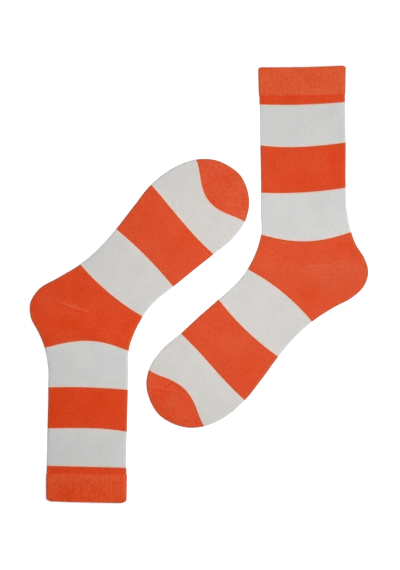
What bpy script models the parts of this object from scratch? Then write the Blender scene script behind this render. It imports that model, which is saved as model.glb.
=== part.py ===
"""A pair of striped crew socks, lying flat on their sides beside each other.

Each sock is one knitted tube that is pressed flat, folded along the middle of the instep
(its front) and along the middle of the heel and sole (its back). It is described by its
courses, the knitted rows that run across the flat sock from the front fold to the back
fold. A smooth outline runs through the ends of the courses in its table, down the front,
round the toe and up the back.

A sock is built from the cuff to the toe as one closed solid for each run of yarn: an outer
skin and an inner skin, a wall apart, joined where the run ends. So it stays hollow, open at
the cuff and closed at the toe. The welt at the cuff is turned, and so is two plies thick,
with its ribs raised on the outside.

Lengths are in millimetres until a mesh is made. Each sock's own frame has its origin in the
middle of the cuff's edge, +X towards the heel, +Y up the leg and +Z off the surface that
the sock lies on.
"""

import math
from typing import NamedTuple

import bmesh
import bpy
import numpy as np

MILLIMETRE = 0.001

# The knit
PLY = 1.2                    # thickness of one layer of jersey
FOLD_RADIUS = 1.6            # half the height of the flat tube where it folds
WELT_PLY = 1.7               # the turned welt, two thinner plies
WELT_STAND_OUT = 0.5         # how far the welt stands out past the leg all round
CROWN_HEIGHT = 0.8           # how much the upper layer lifts in the middle of the sock
CROWN_REACH = 25.0           # the distance from the fold over which it lifts
YARN_CHANGE_GAP = 0.3        # between one run of yarn and the next

# The ribs of the welt
RIBS_ACROSS = 42
RIB_HEIGHT = 0.35
WELT_CORNER = 3.5            # radius of the welt's corners, seen from above
WELT_RIM_ROLL = 0.6          # how far the turned edge rounds out past the two skins

# The mesh
COLUMNS = 9                  # columns of faces across the flat part of each layer
ROLL_ANGLES = (0, 45, 90)    # degrees round a fold or corner at which there is a column
ROLL_LIMIT = 0.3             # the most of a short course that the roll at each end may take
TANGENT_STEP = 0.01          # share of the way to the next course, to find a direction
LINE_SAMPLES = 65            # points on a course when its length is worked out
OUTLINE_SAMPLES = 600
TIP_RINGS = (6.5, 3.2)       # distances of the last wide rings from the tip of the toe
WELD = 0.001                 # points closer than this are one
SMOOTH_ANGLE = 50            # degrees; a sharper edge than this is shaded sharp


class Course(NamedTuple):
    """A knitted row across the flat sock, from the front fold to the back fold."""

    starts: str      # the run of yarn that starts here, "" within a run
    front_x: float
    front_y: float
    back_x: float
    back_y: float
    bow: float       # how far its middle runs on towards the toe, as a share of its width
    peak: float      # shape of the bow: 0.5 is half a circle, 1 a parabola, 1.6 pointed
    sway: float = 0.0    # how far it swings back and forth along its bow, as the same share


class Run(NamedTuple):
    """A run of one yarn, knitted all round the sock."""

    name: str
    yarn: str
    steps: int       # rows of faces between two courses of the table


class Sock(NamedTuple):
    """One sock: its courses, and where its cuff lies."""

    name: str
    courses: tuple[Course, ...]
    cuff_x: float
    cuff_y: float
    turn: float      # degrees


RUNS = (
    Run("welt", "orange", 1),
    Run("top_band", "orange", 1),
    Run("leg_white_upper", "white", 2),
    Run("leg_orange", "orange", 2),
    Run("leg_white_lower", "white", 2),
    Run("heel", "orange", 3),
    Run("foot_white_rear", "white", 2),
    Run("foot_orange", "orange", 2),
    Run("foot_white_front", "white", 2),
    Run("toe", "orange", 2),
)

# Principled BSDF values of each yarn: linear red, green and blue, and roughness.
YARNS = {
    "orange": ((0.70, 0.075, 0.022), 0.88),
    "white": ((0.64, 0.63, 0.60), 0.92),
}

RIGHT_COURSES = (
    #       starts             front x  front y  back x  back y    bow  peak    sway
    Course("welt",              -43.6,    -2.1,   43.5,   -0.3,  0.008, 1.0),
    Course("top_band",          -42.9,   -29.5,   43.0,  -28.2,  0.008, 1.0),
    Course("leg_white_upper",   -42.5,   -38.6,   43.0,  -36.1,  0.017, 1.0),
    Course("leg_orange",        -41.8,   -79.4,   43.8,  -76.6,  0.034, 1.0, -0.003),
    Course("leg_white_lower",   -41.0,  -126.8,   43.8, -121.7,  0.027, 1.0),
    Course("",                  -41.1,  -147.5,   44.8, -143.5,  0.058, 1.1),
    Course("heel",              -41.0,  -168.7,   49.3, -166.1,  0.088, 1.15),
    Course("",                  -42.1,  -173.5,   54.2, -178.9,  0.085, 1.1),
    Course("",                  -43.5,  -178.6,   62.6, -192.3,  0.070, 1.0),
    Course("",                  -45.1,  -183.6,   66.4, -206.0,  0.045, 1.0),
    Course("",                  -47.1,  -188.6,   62.6, -219.3,  0.020, 1.0),
    Course("",                  -49.3,  -193.5,   49.9, -231.9, -0.010, 1.0),
    Course("",                  -51.7,  -198.1,   33.8, -240.5, -0.035, 1.0),
    Course("foot_white_rear",   -54.6,  -203.2,   10.1, -255.8, -0.050, 1.0),
    Course("",                  -67.1,  -218.8,   -8.0, -272.3,  0.000, 1.0),
    Course("foot_orange",       -83.5,  -233.4,  -23.7, -290.8,  0.038, 1.0),
    Course("",                 -101.8,  -249.4,  -40.1, -313.2,  0.020, 1.0),
    Course("foot_white_front", -121.2,  -267.3,  -57.2, -334.4,  0.003, 1.0,  0.006),
    Course("",                 -139.7,  -283.0,  -77.6, -351.5, -0.050, 1.2),
    Course("toe",              -153.2,  -303.6,  -97.4, -360.3, -0.150, 1.7),
    Course("",                 -155.7,  -318.0, -114.0, -361.7, -0.220, 1.1),
    Course("",                 -151.8,  -335.0, -129.9, -357.3, -0.330, 0.8),
    Course("",                 -143.7,  -348.0, -143.7, -348.0, -0.500, 0.5),
)

LEFT_COURSES = (
    #       starts             front x  front y  back x  back y    bow  peak    sway
    Course("welt",              -39.3,    -0.6,   40.5,   -2.5, -0.003, 1.0),
    Course("top_band",          -39.6,   -28.6,   40.4,  -29.4,  0.000, 1.0),
    Course("leg_white_upper",   -39.5,   -35.3,   40.2,  -37.4,  0.002, 1.0),
    Course("leg_orange",        -40.0,   -71.4,   39.5,  -74.7,  0.024, 1.0, -0.004),
    Course("leg_white_lower",   -41.0,  -113.2,   38.7, -115.8,  0.016, 1.0),
    Course("",                  -41.4,  -133.0,   38.8, -135.5,  0.055, 1.1),
    Course("heel",              -41.8,  -152.3,   42.4, -155.2,  0.100, 1.2, -0.003),
    Course("",                  -43.4,  -159.3,   48.5, -170.6,  0.090, 1.1),
    Course("",                  -45.9,  -166.2,   55.9, -184.9,  0.060, 1.0),
    Course("",                  -48.5,  -172.5,   56.9, -199.4,  0.030, 1.0),
    Course("",                  -51.1,  -177.8,   49.2, -212.7,  0.000, 1.0),
    Course("",                  -53.6,  -182.2,   27.9, -225.9, -0.025, 1.0),
    Course("foot_white_rear",   -56.0,  -186.4,    6.7, -238.8, -0.043, 1.0),
    Course("",                  -69.6,  -202.7,  -12.8, -255.6,  0.000, 1.0),
    Course("foot_orange",       -86.4,  -216.2,  -29.0, -274.0,  0.025, 1.0),
    Course("",                 -106.3,  -232.3,  -46.2, -296.1,  0.010, 1.0),
    Course("foot_white_front", -126.7,  -248.6,  -64.2, -318.5, -0.017, 1.0,  0.005),
    Course("",                 -144.8,  -263.2,  -86.1, -335.0, -0.070, 1.3),
    Course("toe",              -157.8,  -280.8, -108.8, -343.5, -0.192, 1.6,  0.006),
    Course("",                 -162.3,  -299.0, -131.0, -342.3, -0.250, 1.1),
    Course("",                 -159.1,  -317.4, -144.0, -335.8, -0.350, 0.8),
    Course("",                 -152.8,  -328.6, -152.8, -328.6, -0.500, 0.5),
)

SOCKS = (
    Sock("right", RIGHT_COURSES, 103.0, 218.3, 0.0),
    Sock("left", LEFT_COURSES, -112.0, -218.7, 180.0),
)


def smooth_path(stations, where):
    """Points of a smooth path through stations, at fractional station numbers."""
    stations = np.asarray(stations, float)
    spans = np.diff(stations, axis=0)
    lengths = np.linalg.norm(spans, axis=1)[:, None]
    slopes = spans / lengths
    inner = (slopes[:-1] * lengths[1:] + slopes[1:] * lengths[:-1]) / (lengths[:-1] + lengths[1:])
    slopes = np.vstack([slopes[:1], inner, slopes[-1:]])
    span = np.clip(np.floor(where).astype(int), 0, len(spans) - 1)
    share = (np.asarray(where, float) - span)[..., None]
    start, end = stations[span], stations[span + 1]
    start_slope, end_slope = slopes[span] * lengths[span], slopes[span + 1] * lengths[span]
    return (
        start * (1 + 2 * share) * (1 - share) ** 2
        + start_slope * share * (1 - share) ** 2
        + end * (3 - 2 * share) * share**2
        + end_slope * (share - 1) * share**2
    )


def turned_right(direction):
    """A direction, or each of several, turned a quarter turn clockwise."""
    return np.stack([direction[..., 1], -direction[..., 0]], axis=-1)


def smooth_step(share):
    """Rise from 0 to 1 with level ends."""
    share = np.clip(share, 0.0, 1.0)
    return share * share * (3 - 2 * share)


class FlatTube:
    """The flat tube of one sock, and any skin inside or outside its outline."""

    def __init__(self, courses):
        """Take the outline and the courses' shapes from a table of courses."""
        fronts = [(course.front_x, course.front_y) for course in courses]
        backs = [(course.back_x, course.back_y) for course in courses]
        self.tip = len(courses) - 1
        self.stations = np.array(fronts + backs[-2::-1])
        self.shapes = np.array([(course.bow, course.peak, course.sway) for course in courses])

    def outline(self, where, inset):
        """Points of the outline, moved inwards by inset, at fractional station numbers."""
        where = np.asarray(where, float)
        ahead = smooth_path(self.stations, np.clip(where + TANGENT_STEP, 0, 2 * self.tip))
        behind = smooth_path(self.stations, np.clip(where - TANGENT_STEP, 0, 2 * self.tip))
        along = ahead - behind
        along /= np.linalg.norm(along, axis=-1, keepdims=True)
        return smooth_path(self.stations, where) - turned_right(along) * inset

    def course_line(self, station, inset, corner=0.0):
        """A fine line along a course from fold to fold.

        inset moves both ends inwards, and corner draws them in along the course.
        """
        front, back = self.outline([station, 2 * self.tip - station], inset)
        width = np.linalg.norm(back - front)
        across = (back - front) / width
        courses = range(self.tip + 1)
        bow, peak, sway = (np.interp(station, courses, column) for column in self.shapes.T)
        share = (1 - np.cos(np.linspace(0, math.pi, LINE_SAMPLES))) / 2
        rise = bow * (4 * share * (1 - share)) ** peak - sway * np.sin(2 * math.pi * share)
        reach = corner + share * (width - 2 * corner)
        return front + np.outer(reach, across) + np.outer(width * rise, turned_right(across))

    def edge_distance(self, points, inset):
        """How far each point lies from the outline, which is moved inwards by inset."""
        line = self.outline(np.linspace(0, 2 * self.tip, OUTLINE_SAMPLES), inset)
        start, span = line[:-1], np.diff(line, axis=0)
        offset = points[:, None, :] - start[None]
        share = np.clip((offset * span).sum(-1) / (span**2).sum(-1), 0, 1)
        return np.linalg.norm(offset - share[..., None] * span, axis=-1).min(axis=1)


def columns_on(line, radius, columns, nudge):
    """Points on a course, close together where it rolls over the folds at its ends.

    nudge moves them all towards the toe, square to the course.
    """
    lengths = np.append(0, np.cumsum(np.linalg.norm(np.diff(line, axis=0), axis=1)))
    along = np.gradient(line, axis=0)
    line = line + nudge * turned_right(along / np.linalg.norm(along, axis=1, keepdims=True))
    whole = lengths[-1]
    roll = min(radius, ROLL_LIMIT * whole) * (1 - np.cos(np.radians(ROLL_ANGLES)))
    flat = np.linspace(roll[-1], whole - roll[-1], columns + 1)[1:-1]
    marks = np.concatenate([roll, flat, (whole - roll)[::-1]])
    return np.column_stack([np.interp(marks, lengths, line[:, axis]) for axis in (0, 1)])


class Skin:
    """One closed-up surface of the tube: the outside or the inside of a wall."""

    def __init__(self, tube, inset, radius, middle, ribs=0, rib_height=0.0):
        """Set the skin's place.

        inset is its distance inside the outline, radius that of its folds, middle the
        height of its folds above the surface that the sock lies on, and ribs the number
        of ribs raised on its upper layer.
        """
        self.tube = tube
        self.inset = inset
        self.radius = radius
        self.middle = middle
        self.ribs = ribs
        self.rib_height = rib_height

    def layer(self, line, columns, nudge, side):
        """Points of the upper layer (side 1) or the lower one (side -1) on a course."""
        points = columns_on(line, self.radius, columns, nudge)
        distance = self.tube.edge_distance(points, self.inset)
        short = np.clip(self.radius - distance, 0, self.radius)
        half = np.sqrt(self.radius**2 - short**2)
        half[[0, -1]] = 0
        height = self.middle + side * half
        if side > 0:
            lift = (distance + self.inset - FOLD_RADIUS) / CROWN_REACH
            height += CROWN_HEIGHT * smooth_step(lift)
            if self.rib_height:
                flat = slice(len(ROLL_ANGLES), -len(ROLL_ANGLES))
                height[flat][::2] -= self.rib_height
        return np.column_stack([points, height])

    def ring(self, station, nudge=0.0, corner=0.0):
        """Points all round the sock on a course: over the top, then back underneath."""
        line = self.tube.course_line(station, self.inset, corner)
        over = self.layer(line, 2 * self.ribs or COLUMNS, nudge, 1)
        under = self.layer(line, COLUMNS, nudge, -1)[-2:0:-1]
        return np.vstack([over, under])

    def tip_rings(self, whole):
        """Rings that close round the tip of the toe, with the tip itself last.

        whole is the length of the outline from the last course of the table to the tip.
        """
        tip = self.tube.tip
        halfway = math.radians(ROLL_ANGLES[1])
        rolls = (self.radius, self.radius * (1 - math.cos(halfway)))
        rings = [self.ring(tip - distance / whole) for distance in TIP_RINGS + rolls]
        point = np.append(self.tube.outline(tip, self.inset), self.middle)
        return rings + [np.tile(point, (len(rings[0]), 1))]


def wrap_rings(name, rings):
    """Make a mesh from a grid, each row of it laid round the sock on one ring."""
    around, rows = len(rings[0]), len(rings) - 1
    work = bmesh.new()
    bmesh.ops.create_grid(work, x_segments=around, y_segments=rows, size=1.0)
    for vertex in work.verts:
        column = round((vertex.co.x + 1) / 2 * around)
        row = round((vertex.co.y + 1) / 2 * rows)
        vertex.co = rings[row][column % around]
    bmesh.ops.remove_doubles(work, verts=work.verts, dist=WELD)
    bmesh.ops.recalc_face_normals(work, faces=work.faces)
    bmesh.ops.scale(work, vec=(MILLIMETRE,) * 3, verts=work.verts)
    mesh = bpy.data.meshes.new(name)
    work.to_mesh(mesh)
    work.free()
    mesh.shade_smooth()
    mesh.set_sharp_from_angle(angle=math.radians(SMOOTH_ANGLE))
    return mesh


def stations_of(first, last, steps):
    """Station numbers from first to last, with steps rows of faces between courses."""
    return np.linspace(first, last, (last - first) * steps + 1)


def knit_tube(name, tube, first, last, steps):
    """A plain run: a ring of cloth from course first to course last, open at both ends."""
    outside = Skin(tube, 0.0, FOLD_RADIUS, FOLD_RADIUS)
    inside = Skin(tube, PLY, FOLD_RADIUS - PLY, FOLD_RADIUS)
    stations = stations_of(first, last, steps)
    nudges = [0.0] * len(stations)
    nudges[0], nudges[-1] = YARN_CHANGE_GAP / 2, -YARN_CHANGE_GAP / 2
    rows = list(zip(stations, nudges))
    rings = [outside.ring(station, nudge) for station, nudge in rows]
    rings += [inside.ring(station, nudge) for station, nudge in reversed(rows)]
    return wrap_rings(name, rings + rings[:1])


def knit_toe(name, tube, first, steps):
    """The last run: a pocket that starts at course first and is closed round the tip."""
    outside = Skin(tube, 0.0, FOLD_RADIUS, FOLD_RADIUS)
    inside = Skin(tube, PLY, FOLD_RADIUS - PLY, FOLD_RADIUS)
    stations = stations_of(first, tube.tip - 1, steps)
    nudges = [YARN_CHANGE_GAP / 2] + [0.0] * (len(stations) - 1)
    last_course, tip = tube.stations[tube.tip - 1], tube.stations[tube.tip]
    whole = np.linalg.norm(tip - last_course)
    rings = []
    for skin in (inside, outside):
        skin_rings = [skin.ring(station, nudge) for station, nudge in zip(stations, nudges)]
        skin_rings += skin.tip_rings(whole)
        rings += skin_rings if skin is outside else skin_rings[::-1]
    return wrap_rings(name, rings)


def knit_welt(name, tube, first, last):
    """The turned welt, ribbed outside and plain inside, with a rounded rim at the cuff."""
    radius = FOLD_RADIUS + WELT_STAND_OUT
    ribs = {"ribs": RIBS_ACROSS}
    outside = Skin(tube, -WELT_STAND_OUT, radius, radius, rib_height=RIB_HEIGHT, **ribs)
    halfway = Skin(tube, -WELT_STAND_OUT + WELT_PLY / 2, radius - WELT_PLY / 2, radius, **ribs)
    inside = Skin(tube, -WELT_STAND_OUT + WELT_PLY, radius - WELT_PLY, radius, **ribs)
    depth = abs(tube.stations[last][1] - tube.stations[first][1])
    turns = np.radians(ROLL_ANGLES)
    downs = first + WELT_CORNER * (1 - np.cos(turns)) / depth
    draws = WELT_CORNER * (1 - np.sin(turns))
    corner = list(zip(downs, draws))
    rings = [outside.ring(down, corner=draw) for down, draw in corner]
    rings.append(outside.ring(last, -YARN_CHANGE_GAP / 2))
    rings.append(inside.ring(last, -YARN_CHANGE_GAP / 2))
    rings += [inside.ring(down, corner=draw) for down, draw in reversed(corner)]
    rings.append(halfway.ring(first, -WELT_RIM_ROLL, draws[0]))
    return wrap_rings(name, rings + rings[:1])


def yarn_material(name):
    """A matt material in a yarn's colour."""
    color, roughness = YARNS[name]
    material = bpy.data.materials.new(name + "_yarn")
    material.use_nodes = True
    shader = material.node_tree.nodes["Principled BSDF"]
    shader.inputs["Base Color"].default_value = (*color, 1.0)
    shader.inputs["Roughness"].default_value = roughness
    shader.inputs["Metallic"].default_value = 0.0
    material.diffuse_color = (*color, 1.0)
    return material


def lay_sock(sock, materials):
    """Build one sock's runs under an empty at the middle of its cuff."""
    cuff = bpy.data.objects.new(sock.name + "_sock", None)
    cuff.location = (sock.cuff_x * MILLIMETRE, sock.cuff_y * MILLIMETRE, 0.0)
    cuff.rotation_euler = (0.0, 0.0, math.radians(sock.turn))
    bpy.context.collection.objects.link(cuff)
    tube = FlatTube(sock.courses)
    starts = [index for index, course in enumerate(sock.courses) if course.starts]
    for run, first, last in zip(RUNS, starts, starts[1:] + [tube.tip]):
        name = f"{sock.name}_{run.name}"
        if run.name == "welt":
            mesh = knit_welt(name, tube, first, last)
        elif run.name == "toe":
            mesh = knit_toe(name, tube, first, run.steps)
        else:
            mesh = knit_tube(name, tube, first, last, run.steps)
        mesh.materials.append(materials[run.yarn])
        piece = bpy.data.objects.new(name, mesh)
        piece.parent = cuff
        bpy.context.collection.objects.link(piece)


def main():
    """Clear the scene and lay out both socks."""
    for old in list(bpy.data.objects):
        bpy.data.objects.remove(old, do_unlink=True)
    materials = {name: yarn_material(name) for name in YARNS}
    for sock in SOCKS:
        lay_sock(sock, materials)


main()
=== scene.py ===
"""The looks of a pair of striped crew socks that lie flat on their sides, beside each other.

Each sock is one circular-knit tube, pressed flat with its folds along the middle of the instep
and along the middle of the heel and sole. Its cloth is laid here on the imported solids' own form,
wale by wale: a wale is a column of stitches down the tube, and a course is a row of them round
it. A run of one yarn is one piece of cloth, and neighbouring runs share their last course, so
the tube has no gaps. The toe is a pocket whose wales bend round its end, from the sole to the
linking seam, and the heel is a pocket whose courses meet on a gore line.

Lengths are in millimetres until a mesh is finished. Each sock's own frame has its origin in the
middle of the cuff's edge, +X towards the heel, +Y up the leg and +Z off the floor.
"""

import logging
import math
from dataclasses import dataclass, field, replace
from enum import Enum
from functools import cache
from typing import NamedTuple

import bmesh
import bpy
import numpy as np
from mathutils import Matrix, Vector

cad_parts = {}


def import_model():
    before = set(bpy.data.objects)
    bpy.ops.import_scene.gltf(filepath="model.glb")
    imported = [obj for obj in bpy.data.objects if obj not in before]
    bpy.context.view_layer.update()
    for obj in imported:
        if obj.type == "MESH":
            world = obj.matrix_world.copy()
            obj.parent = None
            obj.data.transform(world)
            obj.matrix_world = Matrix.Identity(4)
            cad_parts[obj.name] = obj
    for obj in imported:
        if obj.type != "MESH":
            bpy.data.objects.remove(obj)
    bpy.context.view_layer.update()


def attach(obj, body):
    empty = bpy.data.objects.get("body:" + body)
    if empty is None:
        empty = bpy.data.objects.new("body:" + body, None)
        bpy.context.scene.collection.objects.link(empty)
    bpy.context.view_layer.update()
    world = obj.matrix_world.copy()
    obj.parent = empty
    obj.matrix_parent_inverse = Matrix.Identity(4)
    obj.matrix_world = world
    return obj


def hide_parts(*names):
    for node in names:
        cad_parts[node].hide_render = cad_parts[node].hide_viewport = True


log = logging.getLogger("socks")

MILLIMETRE = 0.001
TINY = 1e-12
BODY = "root"
FLOOR = "floor"
KNIT_MAP = "knit"                # UV map: wales round the sock, courses down it

Array = np.ndarray
Color = tuple[float, float, float]
Point = tuple[float, float]
Line = tuple[Point, ...]
Material = bpy.types.Material
Object = bpy.types.Object
Socket = bpy.types.NodeSocket


class Layer(Enum):
    """A layer of the flat sock, with the direction that it faces."""

    UPPER = 1
    LOWER = -1


class Face(Enum):
    """A side of the tube's wall."""

    OUTER = 1
    INNER = -1


class Slot(Enum):
    """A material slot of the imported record."""

    ORANGE_RIB = "orange_rib"
    ORANGE_KNIT = "orange_knit"
    WHITE_KNIT = "white_knit"


class Mark(Enum):
    """A number that every point of the cloth carries for its material."""

    FOLD = "fold"                # millimetres to the nearer fold, where the material paints shade
    CHANGE = "change"            # millimetres to the nearer yarn change
    HOLLOW = "hollow"            # 1 at the bottom of a groove between wales or ribs, 0 on top; the material paints shade there
    TONE = "tone"                # how much more fuzz than usual it has, painted highlights included


Marks = dict[Mark, Array]


class Course(NamedTuple):
    """A knitted row across the flat sock, from the front fold to the back fold."""

    starts: str                  # the run of yarn that starts here, "" within a run
    front_x: float
    front_y: float
    back_x: float
    back_y: float
    bow: float                   # how far its middle runs towards the toe, as a share of its width
    peak: float                  # shape of the bow: 0.5 is half a circle, 1 a parabola
    sway: float = 0.0            # how far it swings back and forth along its bow, as such a share


class Crease(NamedTuple):
    """A soft ridge (or, with a negative height, a trough) in the cloth along a line."""

    start_x: float
    start_y: float
    end_x: float
    end_y: float
    width: float
    height: float


class Patch(NamedTuple):
    """A soft-edged patch where the yarn is fuzzier and paler, or smoother and deeper; some are
    painted highlights.
    """

    x: float
    y: float
    reach_x: float
    reach_y: float
    turn: float                  # degrees
    tone: float


class Skin(NamedTuple):
    """Where one surface of the tube's wall lies."""

    inset: float                 # inside the outline
    radius: float                # of its folds
    middle: float                # height of its folds off the floor


class Ring(NamedTuple):
    """A course to be laid all round the sock, on one surface of its wall."""

    station: float               # fractional number of the course
    skin: Skin
    corner: float = 0.0          # how far its ends are drawn in along it
    nudge: float = 0.0           # how far it is moved towards the toe


@dataclass(frozen=True)
class Gauge:
    """The sizes of the knit, which both socks share."""

    wales: int = 84              # on each layer
    columns: int = 4             # columns of faces in a wale
    course: float = 0.8          # height of a course
    ply: float = 1.2             # thickness of one layer of jersey
    fold_radius: float = 1.6     # half the height of the flat tube where it folds
    shoulder_height: float = 0.45  # how much the upper layer lifts beside a fold
    shoulder_reach: float = 2.5  # distance from the fold over which it does so
    crown_height: float = 0.4    # how much more it lifts in its middle
    crown_reach: float = 25.0    # distance from the fold over which it lifts
    groove: float = 0.12         # depth of the grooves between wales
    groove_roundness: float = 0.7  # of the wales between them: less is flatter
    bite: float = 0.3            # how far the stitches interlock at a yarn change
    row_pitch: float = 2.2       # between rows of faces down the tube
    lining_pitch: float = 4.4    # the same on the inner surface
    lining_wales: int = 42       # columns of faces on each layer of the inner surface

    @property
    def side(self) -> int:
        """Columns of faces across one layer."""
        return self.wales * self.columns

    @property
    def half(self) -> int:
        """Columns of faces from a fold to the middle of a layer."""
        return self.side // 2

    @property
    def outside(self) -> Skin:
        """The outer surface of the plain tube."""
        return Skin(0.0, self.fold_radius, self.fold_radius)

    @property
    def inside(self) -> Skin:
        """The inner surface of the plain tube."""
        return Skin(self.ply, self.fold_radius - self.ply, self.fold_radius)


GAUGE = Gauge()

RIGHT_COURSES = (
    #       starts             front x  front y  back x  back y    bow  peak    sway
    Course("welt",              -43.6,    -2.1,   43.5,   -0.3,  0.008, 1.0),
    Course("top_band",          -42.9,   -29.5,   43.0,  -28.2,  0.008, 1.0),
    Course("leg_white_upper",   -42.5,   -38.6,   43.0,  -36.1,  0.017, 1.0),
    Course("leg_orange",        -41.8,   -79.4,   43.8,  -76.6,  0.034, 1.0, -0.003),
    Course("leg_white_lower",   -41.0,  -126.8,   43.8, -121.7,  0.027, 1.0),
    Course("",                  -41.1,  -147.5,   44.8, -143.5,  0.058, 1.1),
    Course("heel",              -41.0,  -168.7,   49.3, -166.1,  0.088, 1.15),
    Course("",                  -42.1,  -173.5,   54.2, -178.9,  0.085, 1.1),
    Course("",                  -43.5,  -178.6,   62.6, -192.3,  0.070, 1.0),
    Course("",                  -45.1,  -183.6,   66.4, -206.0,  0.045, 1.0),
    Course("",                  -47.1,  -188.6,   62.6, -219.3,  0.020, 1.0),
    Course("",                  -49.3,  -193.5,   49.9, -231.9, -0.010, 1.0),
    Course("",                  -51.7,  -198.1,   33.8, -240.5, -0.035, 1.0),
    Course("foot_white_rear",   -54.6,  -203.2,   10.1, -255.8, -0.050, 1.0),
    Course("",                  -67.1,  -218.8,   -8.0, -272.3,  0.000, 1.0),
    Course("foot_orange",       -83.5,  -233.4,  -23.7, -290.8,  0.038, 1.0),
    Course("",                 -101.8,  -249.4,  -40.1, -313.2,  0.020, 1.0),
    Course("foot_white_front", -121.2,  -267.3,  -57.2, -334.4,  0.003, 1.0,  0.006),
    Course("",                 -139.7,  -283.0,  -77.6, -351.5, -0.050, 1.2),
    Course("toe",              -153.2,  -303.6,  -97.4, -360.3, -0.150, 1.7),
    Course("",                 -155.7,  -318.0, -114.0, -361.7, -0.220, 1.1),
    Course("",                 -151.8,  -335.0, -129.9, -357.3, -0.330, 0.8),
    Course("",                 -143.7,  -348.0, -143.7, -348.0, -0.500, 0.5),
)

LEFT_COURSES = (
    #       starts             front x  front y  back x  back y    bow  peak    sway
    Course("welt",              -39.3,    -0.6,   40.5,   -2.5, -0.003, 1.0),
    Course("top_band",          -39.6,   -28.6,   40.4,  -29.4,  0.000, 1.0),
    Course("leg_white_upper",   -39.5,   -35.3,   40.2,  -37.4,  0.002, 1.0),
    Course("leg_orange",        -40.0,   -71.4,   39.5,  -74.7,  0.024, 1.0, -0.004),
    Course("leg_white_lower",   -41.0,  -113.2,   38.7, -115.8,  0.016, 1.0),
    Course("",                  -41.4,  -133.0,   38.8, -135.5,  0.055, 1.1),
    Course("heel",              -41.8,  -152.3,   42.4, -155.2,  0.100, 1.2, -0.003),
    Course("",                  -43.4,  -159.3,   48.5, -170.6,  0.090, 1.1),
    Course("",                  -45.9,  -166.2,   55.9, -184.9,  0.060, 1.0),
    Course("",                  -48.5,  -172.5,   56.9, -199.4,  0.030, 1.0),
    Course("",                  -51.1,  -177.8,   49.2, -212.7,  0.000, 1.0),
    Course("",                  -53.6,  -182.2,   27.9, -225.9, -0.025, 1.0),
    Course("foot_white_rear",   -56.0,  -186.4,    6.7, -238.8, -0.043, 1.0),
    Course("",                  -69.6,  -202.7,  -12.8, -255.6,  0.000, 1.0),
    Course("foot_orange",       -86.4,  -216.2,  -29.0, -274.0,  0.025, 1.0),
    Course("",                 -106.3,  -232.3,  -46.2, -296.1,  0.010, 1.0),
    Course("foot_white_front", -126.7,  -248.6,  -64.2, -318.5, -0.017, 1.0,  0.005),
    Course("",                 -144.8,  -263.2,  -86.1, -335.0, -0.070, 1.3),
    Course("toe",              -157.8,  -280.8, -108.8, -343.5, -0.192, 1.6,  0.006),
    Course("",                 -162.3,  -299.0, -131.0, -342.3, -0.250, 1.1),
    Course("",                 -159.1,  -317.4, -144.0, -335.8, -0.350, 0.8),
    Course("",                 -152.8,  -328.6, -152.8, -328.6, -0.500, 0.5),
)

RIGHT_CREASES = (
    #      start x  start y    end x    end y  width  height
    Crease(   -4.0,  -203.0,    50.0,  -193.0,   1.8,   0.30),   # heel's gore line
    Crease(    0.0,  -203.0,    36.0,  -216.0,   2.0,   0.22),
    Crease(  -40.0,  -190.0,    -8.0,  -201.0,   4.0,  -0.22),   # bend of the ankle
    Crease(  -44.0,  -176.0,   -18.0,  -181.0,   3.0,  -0.18),
    Crease(   20.0,  -150.0,    34.0,  -172.0,   5.0,  -0.16),
    Crease(  -60.0,  -262.0,   -38.0,  -290.0,   7.0,   0.18),   # sole
    Crease(   29.5,   -84.0,    31.0,  -116.0,   2.2,  -0.16),   # calf
)

LEFT_CREASES = (
    #      start x  start y    end x    end y  width  height
    Crease(   28.0,  -201.9,    -1.0,  -191.8,   1.6,   0.30),   # heel's gore line
    Crease(   -6.0,  -190.0,   -34.0,  -184.0,   3.5,  -0.22),   # bend of the ankle
    Crease(  -42.0,  -164.0,   -12.0,  -176.0,   4.0,  -0.18),
    Crease(   10.0,  -178.0,    40.0,  -176.0,   4.0,  -0.14),
    Crease(  -70.0,  -250.0,   -48.0,  -274.0,   7.0,   0.16),   # sole
    Crease(   12.0,   -44.0,     2.0,   -68.0,   3.0,   0.10),   # calf
)

RIGHT_PATCHES = (
    #        x       y  reach x  reach y  turn  tone
    # the welt's rounded lower edge, next: a painted highlight
    Patch(   0.0,  -26.0,  60.0,    2.4,   0.0,  0.40),   # welt
    Patch(   0.0,   -2.0,  60.0,    4.0,   0.0, -0.20),
    Patch( -38.0,  -99.0,   5.0,   18.0,   0.0,  0.30),   # leg
    Patch(  31.0,  -98.0,   2.5,   14.0,   0.0, -0.45),
    Patch(  33.0, -210.0,  34.0,   12.0,   0.0,  0.45),   # heel
    Patch(  28.0, -200.0,  32.0,    2.2,   6.0,  0.40),
    Patch(  60.0, -202.0,   8.0,    8.0,   0.0,  0.30),
    Patch( -36.0, -199.0,  10.0,    6.0,   0.0,  0.35),
    Patch(  10.0, -229.0,  16.0,   11.0, -30.0, -0.35),
    Patch(  38.0, -181.0,  14.0,    7.0,   0.0, -0.50),
    Patch( -53.0, -304.0,  13.0,    9.0,  45.0, -0.50),   # foot
    Patch( -64.0, -280.0,   9.0,    9.0,   0.0,  0.35),
    Patch(-139.0, -326.0,  12.0,    8.0,   0.0, -0.28),   # toe
    Patch(-129.0, -337.0,   6.0,    4.0,  45.0,  0.45),
    Patch(-151.0, -314.0,   4.0,    7.0,   0.0,  0.40),
    Patch(-151.0, -307.0,   4.0,    4.0,   0.0,  0.60),
)

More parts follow.
